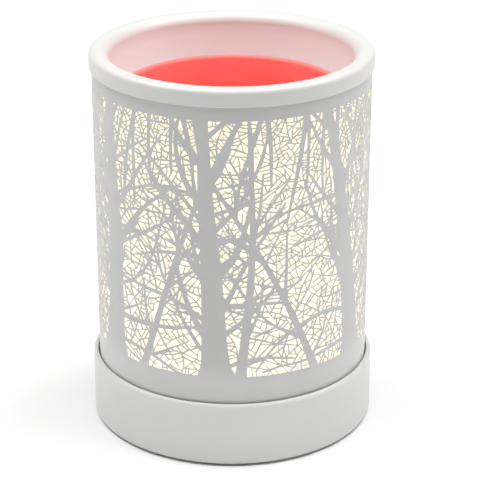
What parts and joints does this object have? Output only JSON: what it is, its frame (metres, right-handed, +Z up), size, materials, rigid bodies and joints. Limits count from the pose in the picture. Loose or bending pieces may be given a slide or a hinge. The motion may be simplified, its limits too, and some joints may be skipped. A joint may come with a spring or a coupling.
{
  "type": "electric aroma lamp",
  "caption": "Round electric aroma lamp: a lit metal shade with cut-out bare trees on a round base, and a lift-off dish of melted wax on top.",
  "frame": {"origin": "on the table under the centre of the lamp", "axes": "+Z up along the lamp's axis, -Y towards the front, +X to the right seen from the front"},
  "size_m": [0.12, 0.1217, 0.1613],
  "materials": {
    "base_plastic": "satin white moulded plastic",
    "white_sheet": "fine white powder coat on thin steel sheet",
    "diffuser": "frosted heat-proof sheet, lit from behind",
    "dish_glaze": "glossy white glaze",
    "red_wax": "molten red wax, wet gloss",
    "bare_steel": "zinc plated",
    "brass": "plain",
    "holder_ceramic": "unglazed steatite",
    "mirror_coat": "mirrored coat on glass",
    "clear_glass": "clear",
    "lit_glass": "lit capsule",
    "foot_rubber": "matte",
    "block_plastic": "natural",
    "lead_brown": "silicone insulation",
    "lead_blue": "silicone insulation",
    "lead_green": "silicone insulation"
  },
  "bodies": {
    "base": {"base_housing": "base_plastic", "bottom_cover": "base_plastic", "cover_screw_1": "bare_steel", "cover_screw_2": "bare_steel", "cover_screw_3": "bare_steel", "rubber_foot_1": "foot_rubber", "rubber_foot_2": "foot_rubber", "rubber_foot_3": "foot_rubber", "rubber_foot_4": "foot_rubber", "base_tray": "white_sheet", "tray_screw_1": "bare_steel", "tray_screw_2": "bare_steel", "tray_screw_3": "bare_steel", "shade": "white_sheet", "seam_strip": "white_sheet", "diffuser_liner": "diffuser", "shade_rivet_1": "white_sheet", "shade_rivet_2": "white_sheet", "shade_rivet_3": "white_sheet", "dish_ring": "white_sheet", "lamp_bracket": "bare_steel", "bracket_screw_1": "bare_steel", "bracket_screw_2": "bare_steel", "bracket_nut_1": "bare_steel", "bracket_nut_2": "bare_steel", "lamp_holder": "holder_ceramic", "holder_contact_1": "brass", "holder_contact_2": "brass", "holder_screw_1": "bare_steel", "holder_screw_2": "bare_steel", "terminal_block": "block_plastic", "terminal_screw_1": "brass", "terminal_screw_2": "brass", "terminal_screw_3": "brass", "terminal_fixing_screw": "bare_steel", "earth_tag": "brass", "earth_screw": "brass", "earth_nut": "brass", "lead_neutral": "lead_blue", "lead_live": "lead_brown", "lead_switch": "lead_brown", "lead_earth": "lead_green", "cord_gland": "base_plastic", "gland_nut": "base_plastic", "switch_body": "base_plastic", "switch_tab_1": "brass", "switch_tab_2": "brass"},
    "dish": {"dish": "dish_glaze", "wax_melt": "red_wax"},
    "bulb": {"bulb_cap": "holder_ceramic", "bulb_pin_1": "bare_steel", "bulb_pin_2": "bare_steel", "bulb_reflector": "mirror_coat", "bulb_capsule": "lit_glass", "bulb_front_glass": "clear_glass"},
    "rocker": {"switch_rocker": "base_plastic"}
  },
  "joints": [
    {"name": "dish_lift", "type": "slide", "parent": "base", "child": "dish", "axis": [0, 0, 1], "range_m": [0, 0.08]},
    {"name": "bulb_twist", "type": "hinge", "parent": "base", "child": "bulb", "pos_m": [0, 0, 0.058], "axis": [0, 0, 1], "range_deg": [0, 30]},
    {"name": "switch_rock", "type": "hinge", "parent": "base", "child": "rocker", "pos_m": [0.03651, 0.04673, 0.011], "axis": [0, 0, 1], "range_deg": [0, 16]}
  ]
}
